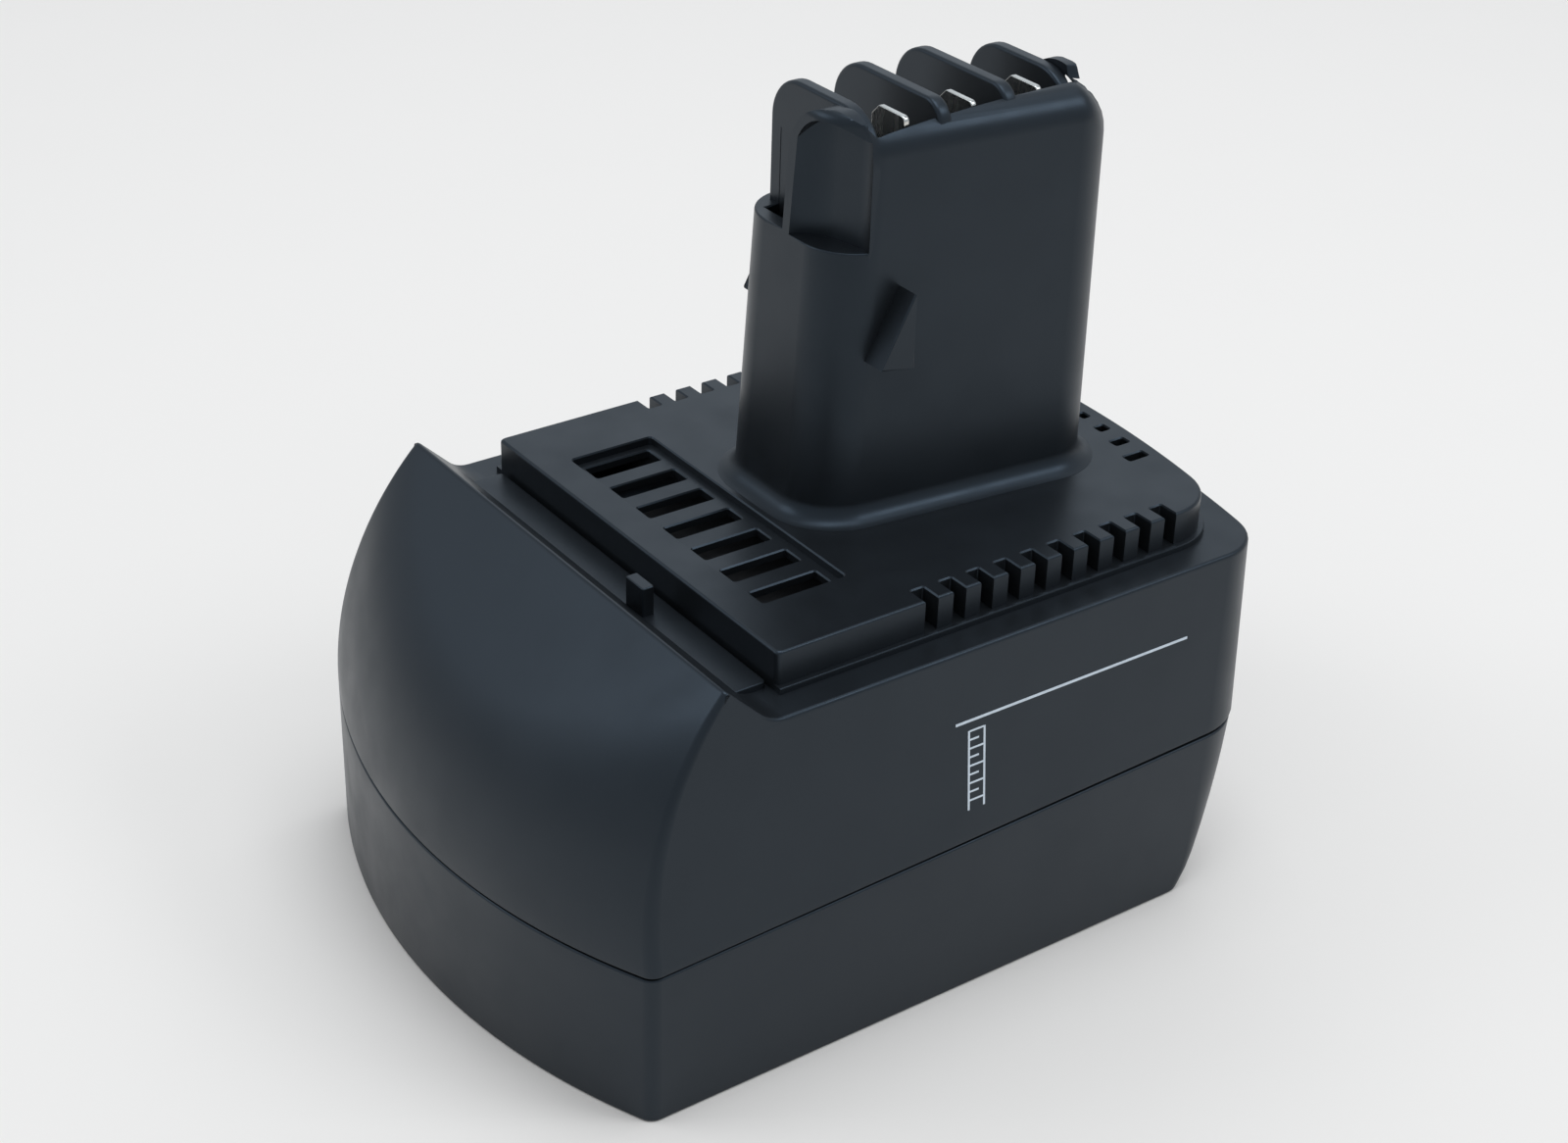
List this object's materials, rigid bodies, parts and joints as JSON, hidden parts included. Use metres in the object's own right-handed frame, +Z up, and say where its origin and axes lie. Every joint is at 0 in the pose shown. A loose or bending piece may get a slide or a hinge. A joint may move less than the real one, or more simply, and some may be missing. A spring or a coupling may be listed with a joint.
{
  "type": "power tool battery pack",
  "caption": "Slide-in battery pack for a cordless tool, with a crowned split housing, a vented deck and an upright tower that carries flat contact blades between fins.",
  "frame": {"origin": "centre of the footprint, on the surface that the pack stands on", "axes": "+X across the pack towards the closed side of the contact head, -Y towards the crowned front with the straight lip, +Z up along the tower"},
  "size_m": [0.078, 0.108, 0.1066],
  "materials": {
    "housing": "satin moulded, fine grain",
    "screw": "zinc plated",
    "carrier": "plain moulded",
    "nickel": "nickel plated",
    "can": "drawn steel",
    "film": "shrunk film",
    "strap": "strip with a dark insulating film",
    "card": "pressed card",
    "foam": "closed-cell foam",
    "cutout_plastic": "plain moulded",
    "bimetal": "rolled strip"
  },
  "bodies": {
    "pack": {"upper_housing": "housing", "base_tray": "housing", "case_screws": "screw", "contact_carrier": "carrier", "blade_negative": "nickel", "blade_sensor": "nickel", "blade_positive": "nickel", "cell_1": "can", "cell_2": "can", "cell_3": "can", "cell_4": "can", "cell_5": "can", "cell_6": "can", "cell_7": "can", "cell_8": "can", "cell_9": "can", "tower_cell": "can", "cell_films": "film", "top_links": "nickel", "bottom_links": "nickel", "tower_link": "nickel", "positive_strap": "nickel", "negative_strap": "strap", "sensor_strap": "strap", "ground_strap": "strap", "bottom_card": "card", "top_card": "card", "tower_card": "card", "base_pad": "foam", "front_pad": "foam", "top_pad": "foam", "row_dividers": "carrier", "cutout_case": "cutout_plastic", "cutout_cover": "cutout_plastic", "cutout_disc": "bimetal", "cutout_fixed": "bimetal", "cutout_post": "bimetal"},
    "switch_arm": {"cutout_arm": "bimetal"}
  },
  "joints": [
    {"name": "arm_lift", "type": "hinge", "parent": "pack", "child": "switch_arm", "pos_m": [0.0152, 0.00968, 0.0488], "axis": [0, -1, 0], "range_deg": [0, 4], "stiffness_Nm_per_rad": 0.0005}
  ]
}
